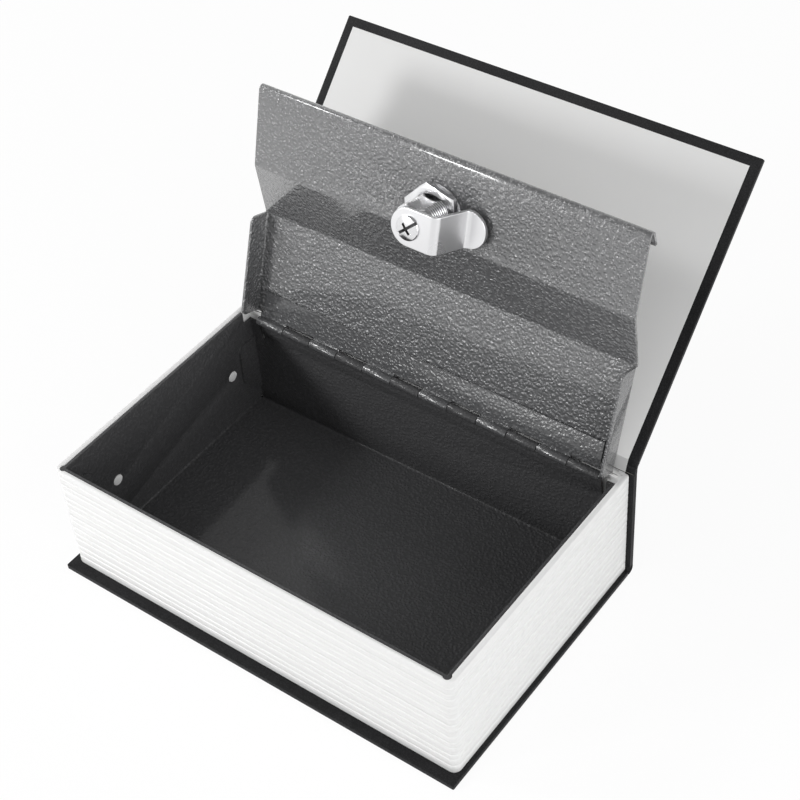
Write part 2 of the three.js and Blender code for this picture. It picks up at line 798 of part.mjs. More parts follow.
function lockNut(parent) {
  const low = 2 * lockGap + washerThickness;
  const high = low + nutHeight;
  const cornerRadius = nutAcrossFlats / 2 / Math.cos(30 * DEGREE);
  const flatRadius = nutAcrossFlats / 2;
  const corners = Array.from({ length: 6 }, (_, k) => {
    const angle = (nutCornerAngle + 60 * k) * DEGREE;
    return [cornerRadius * Math.cos(angle), cornerRadius * Math.sin(angle)];
  });
  const rounding = turned([
    [0, low],
    [flatRadius, low],
    [cornerRadius + 0.1, low + nutChamfer],
    [cornerRadius + 0.1, high - nutChamfer],
    [flatRadius, high],
    [0, high],
  ], 48);
  const hole = barZ(barrelRadius + barrelClearance, 0, high + 1, 32);
  const nut = alongZ(polygon(corners), low, high).intersect(rounding).subtract(hole);
  place(parent, 'lock_nut', nut, materials.zinc);
}

function waferLevels() {
  return Array.from({ length: waferCount }, (_, k) => waferStart + k * waferPitch);
}

// Plug: head with the keyway, a shaft slotted for the wafers, and a square tail for the cam
function lockPlug(parent) {
  const shoulder = camFace - camThickness - plugShoulderGap;
  const head = barZ(plugHeadRadius, lockFront, lockFront + plugHeadHeight - lockGap, 32);
  const shaft = barZ(plugRadius, lockFront + plugHeadHeight / 2, shoulder, 32);
  const tail = block(-tailHalf, tailHalf, -tailHalf, tailHalf, shoulder - 1, camFace);
  const keyway = block(
    -keywayHalfHeight, keywayHalfHeight, -keywayHalfWidth, keywayHalfWidth,
    lockFront - 1, barrelEnd - keywayEndWall,
  );
  let body = head.add(shaft).add(tail).subtract(keyway);
  const reach = plugRadius + 1;
  for (const level of waferLevels()) {
    body = body.subtract(block(
      -reach, reach, -waferHalfWidth - waferSlack, waferHalfWidth + waferSlack,
      level - waferSlack, level + waferThickness + waferSlack,
    ));
  }
  body = body.subtract(barZ(shankRadius + shankClearance, camFace - shankLength, camFace + 1, 20));
  place(parent, 'lock_plug', body, materials.brass);
}

// Disc wafers, each with its window for the key
function lockWafers(parent) {
  waferLevels().forEach((level, k) => {
    const plate = block(
      -plugRadius, plugRadius, -waferHalfWidth, waferHalfWidth, level, level + waferThickness,
    ).intersect(barZ(plugRadius, level - 1, level + 2, 32));
    const lift = waferCutVariation * Math.sin(2.1 * k);
    const window = block(
      lift - waferWindowHalf, lift + waferWindowHalf,
      -keywayHalfWidth - waferSlack, keywayHalfWidth + waferSlack, level - 1, level + 2,
    );
    place(parent, `lock_wafer_${k + 1}`, plate.subtract(window), materials.brass);
  });
}

// Cam: a cranked plate with round ends, whose tongue comes back close to the lid
function lockCam(parent) {
  const profile = sheetOutline([
    [-camHalfWidth - 1, camFace],
    [camBend, camFace],
    [tongueBend, tongueFace],
    [camReach + 1, tongueFace],
  ], camThickness, [bendRadius, bendRadius], -1);
  const cranked = alongZ(profile, -camHalfWidth - 1, camHalfWidth + 1).rotate([90, 0, 0]);
  const plan = new THREE.Shape();
  plan.absarc(camReach - camHalfWidth, 0, camHalfWidth, -Math.PI / 2, Math.PI / 2, false);
  plan.absarc(0, 0, camHalfWidth, Math.PI / 2, 1.5 * Math.PI, false);
  const half = tailHalf + tailClearance;
  const hole = block(-half, half, -half, half, camFace - 2 * camThickness, camFace + 1);
  const body = cranked.intersect(alongZ(plan, 0, camFace + 1)).subtract(hole);
  place(parent, 'lock_cam', body, materials.zinc);
}

function camScrew(parent) {
  const low = camFace + camScrewGap;
  const high = low + camScrewHeight;
  const head = turned([
    [0, low],
    [camScrewRadius, low],
    [camScrewRadius, low + camScrewHeight / 2],
    [camScrewRadius - camScrewHeight / 2, high],
    [0, high],
  ], 40);
  const shank = barZ(shankRadius, camFace - shankLength + shankEndGap, low + camScrewHeight / 4, 20);
  const slot = (halfX, halfY) => block(-halfX, halfX, -halfY, halfY, high - crossDepth, high + 1);
  const recess = slot(crossHalfLength, crossHalfWidth)
    .add(slot(crossHalfWidth, crossHalfLength))
    .rotate([0, 0, crossAngle]);
  place(parent, 'cam_screw', head.add(shank).subtract(recess), materials.zinc);
}

// The safe stands open, as it does in use. The lid and the upper cover are turned back.
const safe = new THREE.Group();
lowerCover(safe);
spine(safe);
pageBlock(safe);
steelBox(safe);
strikeBracket(safe);
hingePin(safe);

const cover = new THREE.Group();
cover.position.set(0, coverLineY, coverLineZ);
cover.rotation.x = -coverOpening * DEGREE;
coverJoint(cover);
upperCover(cover);
safe.add(cover);

const lid = new THREE.Group();
lid.position.set(0, pinY, pinZ);
lid.rotation.x = -lidOpening * DEGREE;
lidPanel(lid);
lidLeaf(lid);
safe.add(lid);

// The lock's own z points to the inside of the lid, and its own y to the lid's front edge
const lock = new THREE.Group();
lock.position.set(0, -lockAlong, -frontFace(lockAlong));
lock.rotation.x = Math.PI + frontSlope;
lockBody(lock);
lockWasher(lock);
lockNut(lock);
lockPlug(lock);
lockWafers(lock);
lockCam(lock);
camScrew(lock);
lid.add(lock);

export default safe;
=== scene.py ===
"""Book safe, open: finishes, fine pieces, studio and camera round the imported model."""
import json
import math

import bpy
from bpy.props import FloatProperty, FloatVectorProperty, IntProperty, PointerProperty
from mathutils import Matrix, Vector


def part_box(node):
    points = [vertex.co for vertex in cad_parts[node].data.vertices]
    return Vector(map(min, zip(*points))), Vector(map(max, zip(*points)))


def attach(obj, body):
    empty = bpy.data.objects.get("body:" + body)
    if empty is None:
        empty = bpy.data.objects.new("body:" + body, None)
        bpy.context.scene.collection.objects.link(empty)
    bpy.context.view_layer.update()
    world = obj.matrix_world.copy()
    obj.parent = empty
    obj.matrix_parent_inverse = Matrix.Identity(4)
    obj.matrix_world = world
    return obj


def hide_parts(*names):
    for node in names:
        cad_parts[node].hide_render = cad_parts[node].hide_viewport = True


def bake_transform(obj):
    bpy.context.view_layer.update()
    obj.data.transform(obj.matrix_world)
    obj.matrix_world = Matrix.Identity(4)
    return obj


bl_info = {
    "name": "Book Safe Finish",
    "version": (1, 0, 0),
    "blender": (4, 5, 0),
    "location": "3D View > Sidebar > Book Safe",
    "description": "Finishes the pieces of an open book safe and sets them in a studio",
    "category": "Object",
}

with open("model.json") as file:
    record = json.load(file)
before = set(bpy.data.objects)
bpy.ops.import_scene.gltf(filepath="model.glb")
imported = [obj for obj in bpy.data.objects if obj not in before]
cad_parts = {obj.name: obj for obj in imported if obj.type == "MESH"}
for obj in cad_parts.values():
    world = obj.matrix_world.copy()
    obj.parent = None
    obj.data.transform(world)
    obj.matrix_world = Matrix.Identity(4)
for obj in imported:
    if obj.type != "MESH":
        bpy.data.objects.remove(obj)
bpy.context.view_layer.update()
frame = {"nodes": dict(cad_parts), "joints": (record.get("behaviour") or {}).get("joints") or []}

MM = 0.001
WHITE = (1.0, 1.0, 1.0, 1.0)
JOINTS = {joint["name"]: joint for joint in frame["joints"]}

# Roundings of the small or soft pieces
COVERING_ROUNDING = 0.1 * MM
JOINT_ROUNDING = 0.05 * MM
BOARD_ROUNDING = 0.05 * MM
PAPER_ROUNDING = 0.04 * MM
FOLD_ROUNDING = 0.12 * MM
PIN_ROUNDING = 0.05 * MM
WASHER_ROUNDING = 0.1 * MM
BRASS_ROUNDING = 0.08 * MM

# Angles between neighbouring faces, in degrees
SHARP_FROM = 35
FLAT_WITHIN = 0.6

WELD_WITHIN = 0.005 * MM

# Range that nearly all values of a noise lie in
NOISE_LOW = 0.25
NOISE_HIGH = 0.75


def joint_frame(name):
    """The place of a body as drawn shut: its joint's line, turned back by the joint's range."""
    joint = JOINTS[name]
    opening = math.radians(joint["range_deg"][1])
    return Matrix.Translation(Vector(joint["pos_m"])) @ Matrix.Rotation(-opening, 4, "X")


def lock_frame():
    """The lock's own axes: x along the lid, z from the lid's inner face into the box."""
    joint = JOINTS["cam_turn"]
    inward = Vector(joint["axis"]).normalized()
    along = Vector((1, 0, 0))
    across = inward.cross(along)
    turn = Matrix((along, across, inward)).transposed().to_4x4()
    return Matrix.Translation(Vector(joint["pos_m"])) @ turn


COVER = joint_frame("cover_hinge")
LOCK = lock_frame()


def span(node, place):
    """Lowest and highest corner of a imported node, measured along the axes of a place."""
    inverse = place.inverted()
    points = [inverse @ vertex.co for vertex in frame["nodes"][node].data.vertices]
    low = Vector([min(point[k] for point in points) for k in range(3)])
    high = Vector([max(point[k] for point in points) for k in range(3)])
    return low, high


def length_property(name, description, default):
    return FloatProperty(name=name, description=description, default=default, subtype="DISTANCE",
                         unit="LENGTH", precision=5)


def angle_property(name, description, degrees):
    return FloatProperty(name=name, description=description, default=math.radians(degrees),
                         subtype="ANGLE", unit="ROTATION")


def power_property(name, description, default):
    return FloatProperty(name=name, description=description, default=default, unit="POWER")


def share_property(name, description, default):
    return FloatProperty(name=name, description=description, default=default, min=0.0, max=1.0,
                         subtype="FACTOR")


def colour_property(name, description, default):
    return FloatVectorProperty(name=name, description=description, default=default, size=3,
                               min=0.0, max=1.0, subtype="COLOR")


class BookSafeSizes(bpy.types.PropertyGroup):
    """Sizes of the fine shapes and of the surface textures"""

    sheet_rounding: length_property(
        "Sheet rounding", "Radius of the painted edges of the sheet steel", 0.18 * MM)
    plated_rounding: length_property(
        "Plated rounding", "Radius of the edges of the lock's nut", 0.16 * MM)
    moulded_rounding: length_property(
        "Moulded rounding", "Radius of the small edges of the page block", 0.12 * MM)
    thread_pitch: length_property(
        "Thread pitch", "Distance from one crest of the lock's thread to the next", 1.15 * MM)
    thread_depth: length_property(
        "Thread depth", "Height of the lock's thread", 0.5 * MM)
    hammer_cell: length_property(
        "Hammertone cell", "Distance between the bumps of the hammertone paint", 1.25 * MM)
    hammer_relief: length_property(
        "Hammertone relief", "Height of the bumps of the lid's paint", 0.42 * MM)
    leaf_relief: length_property(
        "Leaf paint relief", "Height of the bumps of the hinge leaf's paint", 0.14 * MM)
    box_relief: length_property(
        "Box paint relief", "Height of the bumps of the box's paint", 0.2 * MM)
    grain_cell: length_property(
        "Leather grain cell", "Distance between the creases of the covering", 0.9 * MM)
    grain_relief: length_property(
        "Leather grain relief", "Depth of the creases of the covering", 0.05 * MM)
    page_line: length_property(
        "Page line", "Mean distance between the fine lines of the page block", 1.1 * MM)
    page_relief: length_property(
        "Page line relief", "Depth of the fine lines of the page block", 0.07 * MM)
    thread_sides: IntProperty(
        name="Thread sides", description="Number of faces round the lock's thread", default=120)


class BookSafeColours(bpy.types.PropertyGroup):
    """Colours of the finishes, as they are under plain white light"""

    covering: colour_property("Covering", "Black covering of the boards", (0.013, 0.013, 0.014))
    board: colour_property("Board", "Raw board under the covering", (0.27, 0.26, 0.23))
    endpaper: colour_property("Endpaper", "Paper inside the cover", (0.76, 0.76, 0.755))
    pages: colour_property("Pages", "Moulded page block", (0.86, 0.86, 0.855))
    box_paint: colour_property("Box paint", "Paint of the steel box", (0.062, 0.062, 0.064))
    lid_paint: colour_property("Lid paint", "Paint of the lid", (0.14, 0.141, 0.145))
    leaf_paint: colour_property("Leaf paint", "Paint of the lid's hinge leaf", (0.08, 0.081, 0.084))
    plating: colour_property("Plating", "Bright plating of the lock", (0.78, 0.78, 0.79))
    steel: colour_property("Steel", "Washer and hinge pin", (0.45, 0.45, 0.46))
    brass: colour_property("Brass", "Plug and wafers of the lock", (0.48, 0.32, 0.08))
    floor: colour_property("Floor", "Floor of the studio", (0.82, 0.82, 0.82))


class BookSafeStudio(bpy.types.PropertyGroup):
    """Camera and lamps"""

    azimuth: angle_property("Azimuth", "Direction of the camera round the object", 39.294)
    elevation: angle_property("Elevation", "Height of the camera over the horizon", 43.681)
    roll: angle_property("Roll", "Turn of the camera about its line of sight", -4.603)
    distance: length_property("Distance", "From the camera to its target", 691.387 * MM)
    target: FloatVectorProperty(
        name="Target", description="Point that the camera looks at", size=3, subtype="TRANSLATION",
        unit="LENGTH", default=(-12.097 * MM, 54.54 * MM, 38.128 * MM))
    focal_length: FloatProperty(
        name="Focal length", description="Focal length of the lens, in millimetres", default=81.13,
        unit="CAMERA")
    world_light: share_property("World light", "Level of the light from all round", 0.34)
    key_power: power_property("Key power", "Power of the lamp at the front", 5.6)
    key_size: length_property("Key size", "Side of the lamp at the front", 0.25)
    spark_power: power_property(
        "Spark power", "Power of the lamp at the left that the paint glints under", 5.3)
    spark_size: length_property("Spark size", "Side of the lamp at the left", 0.25)
    side_power: power_property("Side power", "Power of the lamp at the right", 7.2)
    side_size: length_property("Side size", "Side of the lamp at the right", 1.0)
    back_power: power_property("Back power", "Power of the lamp at the back left", 0.8)
    back_size: length_property("Back size", "Side of the lamp at the back left", 0.45)
    ceiling: share_property(
        "Ceiling", "Level of the sky overhead as it is seen in bright metal", 0.25)
    floor_glow: share_property(
        "Floor glow", "Share of the floor's white that the lamps don't give", 0.93)


def sizes():
    return bpy.context.scene.book_safe_sizes


def colours():
    return bpy.context.scene.book_safe_colours


def studio():
    return bpy.context.scene.book_safe_studio


class Tree:
    """Short calls that add nodes to a tree and join them."""

    def __init__(self, tree):
        self.tree = tree

    def add(self, kind, inputs=None, **settings):
        node = self.tree.nodes.new(kind)
        for name, value in settings.items():
            setattr(node, name, value)
        for name, value in (inputs or {}).items():
            self.feed(node.inputs[name], value)
        return node

    def feed(self, socket, value):
        if isinstance(value, bpy.types.NodeSocket):
            self.tree.links.new(value, socket)
        else:
            socket.default_value = value

    def calculate(self, operation, *values):
        node = self.add("ShaderNodeMath", operation=operation)
        for k, value in enumerate(values):
            self.feed(node.inputs[k], value)
        return node.outputs[0]

    def move(self, operation, vector, change):
        """A vector with another one added or taken away, or scaled by a number."""
        socket = "Scale" if operation == "SCALE" else 1
        node = self.add("ShaderNodeVectorMath", operation=operation, inputs={0: vector, socket: change})
        return node.outputs[0]

    def between(self, value, low, high, to_low=0.0, to_high=1.0):
        """The value mapped smoothly from one range to another."""
        return self.add("ShaderNodeMapRange", interpolation_type="SMOOTHSTEP", inputs={
            "Value": value, "From Min": low, "From Max": high, "To Min": to_low, "To Max": to_high,
        }).outputs["Result"]

    def mixed(self, share, first, second):
        node = self.add("ShaderNodeMix", data_type="RGBA")
        self.feed(node.inputs[0], share)
        self.feed(node.inputs[6], first)
        self.feed(node.inputs[7], second)
        return node.outputs[2]

    def noise(self, vector, scale, detail, roughness=0.5):
        return self.add("ShaderNodeTexNoise", inputs={
            "Vector": vector, "Scale": scale, "Detail": detail, "Roughness": roughness,
        }).outputs["Fac"]

    def line_noise(self, place, scale, detail):
        """Noise along a line."""
        return self.add("ShaderNodeTexNoise", noise_dimensions="1D", inputs={
            "W": place, "Scale": scale, "Detail": detail}).outputs["Fac"]

    def shaders(self, share, first, second):
        """Two shaders mixed, the second one by the share."""
        node = self.add("ShaderNodeMixShader")
        self.feed(node.inputs[0], share)
        self.feed(node.inputs[1], first)
        self.feed(node.inputs[2], second)
        return node.outputs[0]


def effect_group(name, inputs, outputs):
    """A shader node group with float outputs, its tree, what it is given and what it makes."""
    group = bpy.data.node_groups.new(name, "ShaderNodeTree")
    for socket_name, kind in inputs:
        group.interface.new_socket(name=socket_name, in_out="INPUT", socket_type=kind)
    for socket_name in outputs:
        group.interface.new_socket(name=socket_name, in_out="OUTPUT", socket_type="NodeSocketFloat")
    tree = Tree(group)
    return group, tree, tree.add("NodeGroupInput").outputs, tree.add("NodeGroupOutput").inputs


def hammertone_group():
    """Pebbled bumps of hammertone paint. Cells is the number of bumps in a metre."""
    bend_scale = 0.6
    bend_reach = 1.3
    blur = 0.35
    top = 0.05
    foot = 0.75
    fine_scale = 2.3
    fine_share = 0.3
    group, tree, given, made = effect_group(
        "hammertone", [("Vector", "NodeSocketVector"), ("Cells", "NodeSocketFloat")],
        ["Height", "Valley"])
    bend = tree.add("ShaderNodeTexNoise", inputs={
        "Vector": given["Vector"], "Scale": tree.calculate("MULTIPLY", given["Cells"], bend_scale),
        "Detail": 2.0}).outputs["Color"]
    shift = tree.move("SUBTRACT", bend, (0.5, 0.5, 0.5))
    pushed = tree.move("SCALE", shift, tree.calculate("DIVIDE", bend_reach, given["Cells"]))
    cells = tree.add("ShaderNodeTexVoronoi", feature="SMOOTH_F1", inputs={
        "Vector": tree.move("ADD", given["Vector"], pushed), "Scale": given["Cells"],
        "Smoothness": blur})
    bump = tree.between(cells.outputs["Distance"], top, foot, 1.0, 0.0)
    fine = tree.noise(given["Vector"], tree.calculate("MULTIPLY", given["Cells"], fine_scale), 3.0)
    height = tree.calculate("ADD", bump, tree.calculate("MULTIPLY", fine, fine_share))
    tree.feed(made["Height"], height)
    tree.feed(made["Valley"], tree.calculate("SUBTRACT", 1.0, bump))
    return group


def grain_group():
    """Creased grain of a leather-like covering. Cells is the number of creases in a metre."""
    crease_width = 0.22
    pore_scale = 1.8
    pore_share = 0.5
    group, tree, given, made = effect_group(
        "leather_grain", [("Vector", "NodeSocketVector"), ("Cells", "NodeSocketFloat")],
        ["Height", "Crease"])
    cells = tree.add("ShaderNodeTexVoronoi", feature="DISTANCE_TO_EDGE", inputs={
        "Vector": given["Vector"], "Scale": given["Cells"]})
    raised = tree.between(cells.outputs["Distance"], 0.0, crease_width)
    pores = tree.noise(given["Vector"], tree.calculate("MULTIPLY", given["Cells"], pore_scale), 3.0)
    tree.feed(made["Height"],
              tree.calculate("ADD", raised, tree.calculate("MULTIPLY", pores, pore_share)))
    tree.feed(made["Crease"], tree.calculate("SUBTRACT", 1.0, raised))
    return group


def variation_group():
    """Broad and fine unevenness of a finish, each about 0.5."""
    broad_scale = 22.0
    fine_scale = 900.0
    group, tree, given, made = effect_group(
        "unevenness", [("Vector", "NodeSocketVector")], ["Broad", "Fine"])
    tree.feed(made["Broad"], tree.noise(given["Vector"], broad_scale, 3.0, 0.6))
    tree.feed(made["Fine"], tree.noise(given["Vector"], fine_scale, 4.0, 0.6))
    return group


def page_line_group():
    """Fine lines of stacked pages, which run level. Lines is the number of lines in a metre. Groove is
    where the pages' colour gets painted shade.
    """
    wander_reach = 0.5 * MM
    wander_scale = 9.0
    fine_scale = 3.1
    fine_share = 0.45
    page_level = 0.72
    groove_level = 0.5
    group, tree, given, made = effect_group(
        "page_lines", [("Vector", "NodeSocketVector"), ("Lines", "NodeSocketFloat")],
        ["Height", "Groove"])
    level = tree.add("ShaderNodeSeparateXYZ", inputs={"Vector": given["Vector"]}).outputs["Z"]
    wander = tree.calculate("MULTIPLY", tree.noise(given["Vector"], wander_scale, 1.0), wander_reach)
    at = tree.calculate("MULTIPLY", tree.calculate("ADD", level, wander), given["Lines"])
    coarse = tree.line_noise(at, 1.0, 0.0)
    fine = tree.line_noise(at, fine_scale, 1.0)
    both = tree.calculate("ADD", coarse, tree.calculate("MULTIPLY", fine, fine_share))
    tree.feed(made["Height"], both)
    tree.feed(made["Groove"], tree.between(both, page_level, groove_level))
    return group


GROUPS = {}


def shared_group(name):
    """A shared effect, built when it is first asked for."""
    makers = {
        "hammertone": hammertone_group,
        "leather_grain": grain_group,
        "unevenness": variation_group,
        "page_lines": page_line_group,
    }
    if name not in GROUPS:
        GROUPS[name] = makers[name]()
    return GROUPS[name]


class Finish:
    """A material with a Principled shader, and the calls that build its surface."""

    def __init__(self, name, metallic=0.0, **settings):
        self.material = bpy.data.materials.new(name)
        self.material.use_nodes = True
        self.tree = Tree(self.material.node_tree)
        self.shader = self.material.node_tree.nodes["Principled BSDF"]
        self.shader.inputs["Metallic"].default_value = metallic
        for socket, value in settings.items():
            self.shader.inputs[socket.replace("_", " ")].default_value = value
        self.place = self.tree.add("ShaderNodeTexCoord").outputs["Object"]
        self.uneven = self.effect("unevenness")

    def effect(self, name, **values):
        node = self.tree.add("ShaderNodeGroup", node_tree=shared_group(name))
        self.tree.feed(node.inputs["Vector"], self.place)
        for socket, value in values.items():
            self.tree.feed(node.inputs[socket], value)
        return node.outputs

    def colour(self, value):
        self.tree.feed(self.shader.inputs["Base Color"], value)

    def roughness(self, low, high):
        """Roughness that wanders from low to high with the broad unevenness."""
        value = self.tree.between(self.uneven["Broad"], NOISE_LOW, NOISE_HIGH, low, high)
        self.tree.feed(self.shader.inputs["Roughness"], value)

    def bump(self, height, distance):
        node = self.tree.add("ShaderNodeBump", inputs={
            "Height": height, "Distance": distance, "Strength": 1.0})
        self.tree.feed(self.shader.inputs["Normal"], node.outputs["Normal"])

    def shade(self, colour, mask, low, high):
        """The colour, brighter or darker from one share to another as the mask rises."""
        return self.tree.mixed(mask, scaled(colour, low), scaled(colour, high))


def scaled(colour, share):
    return (*(min(1.0, channel * share) for channel in colour), 1.0)


def covering_finish():
    finish = Finish("black_covering", Specular_IOR_Level=0.2)
    grain = finish.effect("leather_grain", Cells=1.0 / sizes().grain_cell)
    finish.colour(finish.shade(colours().covering, grain["Crease"], 1.25, 0.6))
    finish.roughness(0.55, 0.7)
    finish.bump(grain["Height"], sizes().grain_relief)
    return finish.material


def board_finish():
    finish = Finish("raw_board")
    finish.colour(finish.shade(colours().board, finish.uneven["Fine"], 0.8, 1.15))
    finish.roughness(0.85, 0.95)
    finish.bump(finish.uneven["Fine"], 0.05 * MM)
    return finish.material


def endpaper_finish():
    finish = Finish("white_endpaper", Specular_IOR_Level=0.3)
    finish.colour(finish.shade(colours().endpaper, finish.uneven["Broad"], 0.97, 1.03))
    finish.roughness(0.6, 0.75)
    finish.bump(finish.uneven["Fine"], 0.012 * MM)
    return finish.material


def page_finish():
    finish = Finish("moulded_pages", Specular_IOR_Level=0.4)
    lines = finish.effect("page_lines", Lines=1.0 / sizes().page_line)
    # Slightly darker in the grooves of the page lines: painted shade
    finish.colour(finish.shade(colours().pages, lines["Groove"], 1.0, 0.965))
    finish.roughness(0.42, 0.55)
    finish.bump(lines["Height"], sizes().page_relief)
    return finish.material


def painted_finish(name, colour, relief, rough_low, rough_high, contrast, gloss):
    """Hammertone paint, paler on its bumps and darker between them by the contrast: partly the paint's
    own tone, partly painted shade in the hollows.
    """
    finish = Finish(name, Specular_IOR_Level=gloss, Coat_Weight=gloss, Coat_Roughness=0.1)
    tone = finish.effect("hammertone", Cells=1.0 / sizes().hammer_cell)
    # Darker in the hollows: partly the paint's own tone, partly painted shade standing in for the
    # relief's shading
    finish.colour(finish.shade(colour, tone["Valley"], 1 + contrast, 1 - contrast))
    finish.roughness(rough_low, rough_high)
    finish.bump(tone["Height"], relief)
    return finish.material


def plated_finish(name, share, rough_low, rough_high):
    """Bright plating, or a share of its brightness where shade is painted on it."""
    finish = Finish(name, metallic=1.0)
    finish.colour(finish.shade(colours().plating, finish.uneven["Broad"], 0.95 * share, 1.03 * share))
    finish.roughness(rough_low, rough_high)
    finish.bump(finish.uneven["Fine"], 0.004 * MM)
    return finish.material


def steel_finish():
    finish = Finish("plain_steel", metallic=1.0)
    finish.colour(finish.shade(colours().steel, finish.uneven["Fine"], 0.9, 1.08))
    finish.roughness(0.26, 0.36)
    finish.bump(finish.uneven["Fine"], 0.008 * MM)
    return finish.material


def brass_finish():
    finish = Finish("turned_brass", metallic=1.0)
    finish.colour(finish.shade(colours().brass, finish.uneven["Broad"], 0.9, 1.1))
    finish.roughness(0.24, 0.34)
    finish.bump(finish.uneven["Fine"], 0.006 * MM)
    return finish.material


def dress(names, material, rounding, segments=2):
    """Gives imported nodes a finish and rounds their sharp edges."""
    for name in names:
        node = frame["nodes"][name]
        node.data.materials.clear()
        node.data.materials.append(material)
        node.data.polygons.foreach_set("use_smooth", [True] * len(node.data.polygons))
        soften(node, rounding, segments)


def soften(piece, rounding, segments):
    """Joins the flat faces of a piece and rounds its sharp edges."""
    weld = piece.modifiers.new("weld", "WELD")
    weld.merge_threshold = WELD_WITHIN
    flat = piece.modifiers.new("flat", "DECIMATE")
    flat.decimate_type = "DISSOLVE"
    flat.angle_limit = math.radians(FLAT_WITHIN)
    bevel = piece.modifiers.new("rounding", "BEVEL")
    bevel.width = rounding
    bevel.segments = segments
    bevel.limit_method = "ANGLE"
    bevel.angle_limit = math.radians(SHARP_FROM)
    bevel.harden_normals = True


def new_piece(name, points, faces, material, body, sharp_from=SHARP_FROM):
    """A mesh piece with the given finish, which rides on a body when one is given."""
    mesh = bpy.data.meshes.new(name)
    mesh.from_pydata([tuple(point) for point in points], [], faces)
    mesh.validate()
    mesh.polygons.foreach_set("use_smooth", [True] * len(mesh.polygons))
    mesh.set_sharp_from_angle(angle=math.radians(sharp_from))
    mesh.materials.append(material)
    mesh.update()
    piece = bpy.data.objects.new(name, mesh)
    bpy.context.scene.collection.objects.link(piece)
    if body:
        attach(piece, body)
    return piece


def give_faces(piece, material, chosen):
    """Gives chosen faces of a piece a second finish."""
    piece.data.materials.append(material)
    for k in chosen:
        piece.data.polygons[k].material_index = 1


def closed_grid(rows, around):
    """Faces through rows of points that close on themselves both ways."""
    faces = []
    for i in range(rows):
        below = (i + 1) % rows
        for j in range(around):
            after = (j + 1) % around
            faces.append((i * around + j, i * around + after, below * around + after,
                          below * around + j))
    return faces


def last_end(rows, around):
    """The flat face over the last row of points."""
    return tuple(reversed(range((rows - 1) * around, rows * around)))


def capped_grid(rows, around):
    """Faces through rows of points that close round, with a flat end on both sides."""
    return [*closed_grid(rows, around)[:-around], tuple(range(around)), last_end(rows, around)]


def dress_covers():
    material = covering_finish()
    dress(["bottom_wrap", "top_wrap", "spine_wrap"], material, COVERING_ROUNDING)
    dress(["bottom_joint", "cover_joint"], material, JOINT_ROUNDING, 1)
    dress(["bottom_board", "top_board", "spine_board"], board_finish(), BOARD_ROUNDING, 1)
    fold_cloth(material)


def beside(path, distance):
    """The places of a path moved to its left by a distance."""
    last = len(path) - 1
    moved = []
    for i, place in enumerate(path):
        way = (path[min(i + 1, last)] - path[max(i - 1, 0)]).normalized()
        moved.append(place + Vector((-way.y, way.x)) * distance)
    return moved


def strip_along_x(name, outside, inside, half_length, material):
    """A bent strip along the book between two paths across it."""
    columns = 40
    section = [*outside, *reversed(inside)]
    points = []
    for k in range(columns + 1):
        x = half_length * (2 * k / columns - 1)
        points.extend(Vector((x, place.x, place.y)) for place in section)
    return new_piece(name, points, capped_grid(columns + 1, len(section)), material, None)


def bow(start, end, bulge, steps=8):
    """Places on a gentle bow from start to end, which leaves the straight line by the bulge."""
    way = end - start
    side = Vector((-way.y, way.x)).normalized()
    return [start + way * (k / steps) + side * bulge * math.sin(math.pi * k / steps)
            for k in range(steps + 1)]


def across_book(place, y, z):
    """A place of the upper cover, given across its hinge line, as y and z of the open book."""
    at = place @ Vector((0, y, z))
    return Vector((at.y, at.z))


def fold_cloth(material):
    """Cloth turned in over the gap between the spine's board and the upper cover's board."""
    lap = 0.15 * MM
    tuck = 0.02 * MM
    bulge = 0.35 * MM
    set_back = 0.3 * MM
    over_board = 0.1 * MM
    low, high = span("top_wrap", COVER)
    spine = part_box("spine_wrap")
    board_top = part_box("spine_board")[1].z
    root = across_book(COVER, high.y - lap, high.z)
    outside = [Vector((spine[1].y - lap, board_top - lap))]
    outside.extend(bow(Vector((spine[1].y - tuck, spine[1].z - lap)), root, bulge))
    inside = bow(Vector((spine[0].y + set_back, board_top - lap)),
                 across_book(COVER, high.y - lap, low.z + over_board), 0)
    piece = strip_along_x("cover_fold_cloth", outside, inside, spine[1].x, material)
    soften(piece, FOLD_ROUNDING, 2)
    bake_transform(piece)


def dress_papers():
    material = endpaper_finish()
    dress(["top_endpaper"], material, PAPER_ROUNDING, 1)
    fold_paper(material)


def fold_paper(material):
    """Endpaper that runs on from the upper cover down to the page block's rear rim."""
    lap = 0.1 * MM
    off_block = 0.08 * MM
    below_rim = 0.3 * MM
    pasted_depth = 2.3 * MM
    bulge = 0.12 * MM
    low, high = span("top_endpaper", COVER)
    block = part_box("page_block")
    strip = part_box("endpaper_hinge")
    thick = high.z - low.z
    top = across_book(COVER, high.y - lap, low.z + thick)
    foot = Vector((block[1].y + off_block, block[1].z - below_rim))
    pasted = Vector((foot.x, foot.y - pasted_depth))
    path = [pasted, *bow(foot, top, bulge)]
    piece = strip_along_x("endpaper_fold", path, beside(path, thick), strip[1].x, material)
    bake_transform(piece)
    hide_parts("endpaper_hinge")


def dress_pages():
    dress(["page_block"], page_finish(), sizes().moulded_rounding)


def dress_box():
    paint = painted_finish(
        "box_paint", colours().box_paint, sizes().box_relief,
        rough_low=0.4, rough_high=0.5, contrast=0.12, gloss=0.2)
    dress(["box_tray", "strike_bracket"], paint, sizes().sheet_rounding)
    dress(["hinge_pin"], steel_finish(), PIN_ROUNDING, 1)


def dress_lid():
    panel = painted_finish(
        "lid_paint", colours().lid_paint, sizes().hammer_relief,
        rough_low=0.18, rough_high=0.24, contrast=0.14, gloss=0.95)
    leaf = painted_finish(
        "leaf_paint", colours().leaf_paint, sizes().leaf_relief,
        rough_low=0.2, rough_high=0.3, contrast=0.1, gloss=0.6)
    dress(["lid_panel"], panel, sizes().sheet_rounding)
    dress(["lid_hinge_leaf"], leaf, sizes().sheet_rounding)


